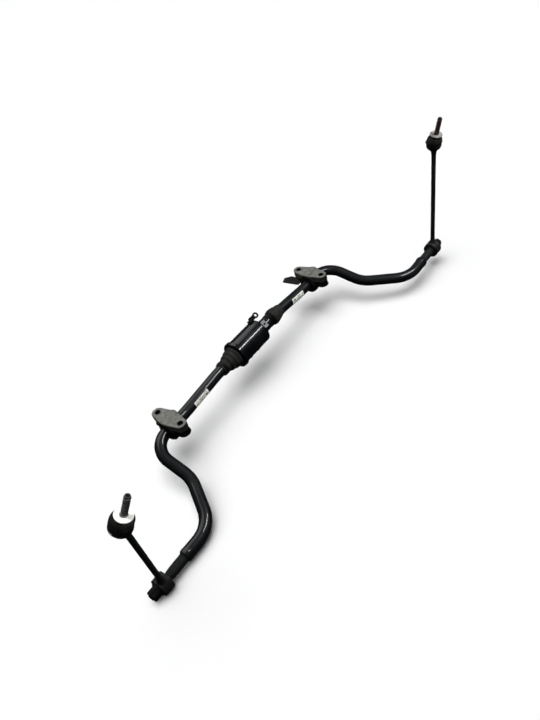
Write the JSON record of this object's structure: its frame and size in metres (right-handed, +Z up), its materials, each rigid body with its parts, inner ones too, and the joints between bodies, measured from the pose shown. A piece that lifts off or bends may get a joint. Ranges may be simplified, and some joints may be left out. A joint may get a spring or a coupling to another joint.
{
  "type": "active sway bar",
  "caption": "Split steel anti-roll bar with a hydraulic vane motor in the middle, rubber-bushed cast frame brackets and ball-jointed end links.",
  "frame": {"origin": "midway between the left bracket's two bolt holes, on the plane of its feet", "axes": "+X along the bar from the left bracket to the right one, +Z up off the bracket feet, arms towards -Y"},
  "size_m": [1.2175, 0.3803, 0.4164],
  "materials": {
    "bar_paint": "gloss black paint over spring steel",
    "block_alloy": "machined aluminium",
    "bronze": "sintered bronze",
    "cast_grey": "as-cast dull grey aluminium",
    "dark_steel": "dark phosphated steel",
    "link_coat": "satin black coating over steel",
    "motor_paint": "gloss black paint over steel tube",
    "paper": "pale adhesive label",
    "plastic": "natural acetal plastic",
    "rubber": "matt black rubber",
    "steel": "ground steel",
    "white_plate": "pale coated steel",
    "zinc": "zinc-plated steel"
  },
  "bodies": {
    "left_bracket": {"left_bracket_cap": "cast_grey", "left_bracket_base": "dark_steel", "left_bush": "rubber", "left_bolt_sleeves": "dark_steel"},
    "left_half": {"left_bar": "bar_paint", "left_label": "paper", "rotor_shaft": "steel", "rotor_vanes": "steel", "rotor_vane_seals": "plastic", "motor_boot": "rubber", "motor_boot_clamp": "dark_steel", "left_eye_sleeve": "steel", "left_eye_washer": "link_coat", "left_eye_nut": "dark_steel"},
    "right_half": {"right_bar": "bar_paint", "right_label": "paper", "motor_housing": "motor_paint", "motor_front_cover": "motor_paint", "motor_rear_cover": "motor_paint", "motor_front_bearing": "bronze", "motor_rear_bearing": "bronze", "motor_shaft_seal": "rubber", "motor_snap_ring": "steel", "stator_vanes": "steel", "stator_vane_seals": "plastic", "motor_sleeve": "rubber", "motor_sleeve_ring": "dark_steel", "motor_port_block": "block_alloy", "motor_port_bosses": "motor_paint", "motor_line_lug": "dark_steel", "right_eye_sleeve": "steel", "right_eye_washer": "link_coat", "right_eye_nut": "dark_steel"},
    "right_bracket": {"right_bracket_cap": "cast_grey", "right_bracket_base": "dark_steel", "right_bush": "rubber", "right_bolt_sleeves": "dark_steel", "right_guard_plate": "dark_steel"},
    "left_link_rod": {"left_link": "link_coat", "left_eye_bush": "rubber", "left_ball_retainer": "dark_steel"},
    "left_joint_race": {"left_ball_race": "plastic", "left_link_boot": "rubber", "left_boot_ring": "dark_steel"},
    "left_joint_stud": {"left_ball_stud": "zinc", "left_stud_flange": "white_plate"},
    "right_link_rod": {"right_link": "link_coat", "right_eye_bush": "rubber", "right_ball_retainer": "dark_steel"},
    "right_joint_race": {"right_ball_race": "plastic", "right_link_boot": "rubber", "right_boot_ring": "dark_steel"},
    "right_joint_stud": {"right_ball_stud": "zinc", "right_stud_flange": "white_plate"}
  },
  "joints": [
    {"name": "left_bush_turn", "type": "hinge", "parent": "left_bracket", "child": "left_half", "pos_m": [0, 0, 0.004], "axis": [1, 0, 0], "range_deg": [-25, 25]},
    {"name": "motor_swivel", "type": "hinge", "parent": "left_half", "child": "right_half", "pos_m": [0.288, 0, 0.0155], "axis": [1, 0, 0], "range_deg": [-18, 18]},
    {"name": "right_bush_turn", "type": "hinge", "parent": "right_half", "child": "right_bracket", "pos_m": [0.576, 0, 0.004], "axis": [1, 0, 0], "range_deg": [-25, 25]},
    {"name": "left_link_swing", "type": "hinge", "parent": "left_half", "child": "left_link_rod", "pos_m": [-0.275, -0.207, -0.06485], "axis": [1, 0, 0], "range_deg": [-30, 30]},
    {"name": "left_joint_turn", "type": "hinge", "parent": "left_link_rod", "child": "left_joint_race", "pos_m": [-0.29022, -0.281, 0.22548], "axis": [-0.0507, -0.2467, 0.9678], "continuous": true},
    {"name": "left_joint_tilt", "type": "hinge", "parent": "left_joint_race", "child": "left_joint_stud", "pos_m": [-0.29022, -0.281, 0.22548], "axis": [0.1988, 0.9471, 0.2518], "range_deg": [-56, 3], "deforming": ["left_link_boot"]},
    {"name": "right_link_swing", "type": "hinge", "parent": "right_half", "child": "right_link_rod", "pos_m": [0.861, -0.21847, -0.03624], "axis": [1, 0, 0], "range_deg": [-30, 30]},
    {"name": "right_joint_turn", "type": "hinge", "parent": "right_link_rod", "child": "right_joint_race", "pos_m": [0.88504, -0.2289, 0.26261], "axis": [0.0801, -0.0348, 0.9962], "continuous": true},
    {"name": "right_joint_tilt", "type": "hinge", "parent": "right_joint_race", "child": "right_joint_stud", "pos_m": [0.88504, -0.2289, 0.26261], "axis": [0.955, -0.2837, -0.0867], "range_deg": [-45, 14], "deforming": ["right_link_boot"]}
  ]
}
